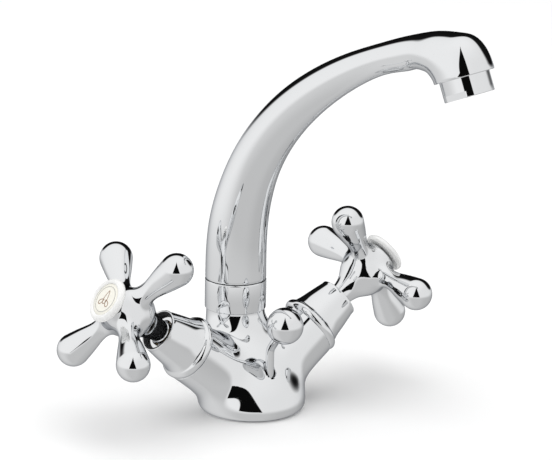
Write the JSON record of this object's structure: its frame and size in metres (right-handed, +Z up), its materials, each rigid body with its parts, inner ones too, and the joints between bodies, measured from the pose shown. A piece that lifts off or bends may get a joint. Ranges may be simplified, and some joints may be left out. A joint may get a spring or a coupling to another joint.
{
  "type": "bathroom mixer faucet",
  "caption": "Deck-mounted basin mixer with a swivelling swan-neck spout, cross handles on angled arms and a ball-topped pop-up waste lift rod.",
  "frame": {"origin": "centre of the round foot, on the deck plane that it stands on", "axes": "+Z straight up from the deck; -Y is the front, towards the user; -X is the hot side and +X the cold side. At rest the spout is swung 18.4 degrees from straight ahead towards +X"},
  "size_m": [0.1929, 0.1639, 0.1995],
  "materials": {
    "chrome": "polished chrome plate over brass",
    "brass": "turned brass",
    "steel": "stainless steel, plain",
    "rubber": "black nitrile rubber",
    "ceramic": "lapped alumina",
    "white_enamel": "glossy white",
    "cream_disc": "glossy cream",
    "white_plastic": "plain acetal",
    "grey_plastic": "plain moulded plastic"
  },
  "bodies": {
    "mixer_body": {"faucet_body": "chrome", "base_gasket": "rubber", "rod_bush": "white_plastic", "spout_nut": "chrome", "swivel_washer_lower": "white_plastic", "swivel_washer_upper": "white_plastic", "hot_bonnet": "chrome", "hot_valve_body": "brass", "hot_fixed_disc": "ceramic", "hot_seat_seal": "rubber", "cold_bonnet": "chrome", "cold_valve_body": "brass", "cold_fixed_disc": "ceramic", "cold_seat_seal": "rubber"},
    "spout_assembly": {"spout": "chrome", "spout_tail": "brass", "tail_seals": "rubber", "aerator_housing": "chrome", "aerator_insert": "grey_plastic", "aerator_washer": "rubber"},
    "hot_handle_set": {"hot_handle": "chrome", "hot_handle_screw": "steel", "hot_index_ring": "white_enamel", "hot_index_disc": "cream_disc", "hot_spindle": "brass", "hot_moving_disc": "ceramic", "hot_spindle_seal": "rubber", "hot_circlip": "steel"},
    "cold_handle_set": {"cold_handle": "chrome", "cold_handle_screw": "steel", "cold_index_ring": "white_enamel", "cold_index_disc": "cream_disc", "cold_spindle": "brass", "cold_moving_disc": "ceramic", "cold_spindle_seal": "rubber", "cold_circlip": "steel"},
    "lift_rod_set": {"lift_rod": "chrome", "lift_knob": "chrome"}
  },
  "joints": [
    {"name": "spout_swivel", "type": "hinge", "parent": "mixer_body", "child": "spout_assembly", "pos_m": [0, 0.016, 0.056], "axis": [0, 0, 1], "range_deg": [-78.4, 41.6]},
    {"name": "hot_turn", "type": "hinge", "parent": "mixer_body", "child": "hot_handle_set", "pos_m": [0, 0.0029, 0.0103], "axis": [-0.8231, 0, 0.5678], "range_deg": [0, 180]},
    {"name": "cold_turn", "type": "hinge", "parent": "mixer_body", "child": "cold_handle_set", "pos_m": [0, 0.0029, 0.0103], "axis": [0.8231, 0, 0.5678], "range_deg": [0, 180]},
    {"name": "lift_rod_slide", "type": "slide", "parent": "mixer_body", "child": "lift_rod_set", "axis": [0, 0, 1], "range_m": [0, 0.012]}
  ]
}
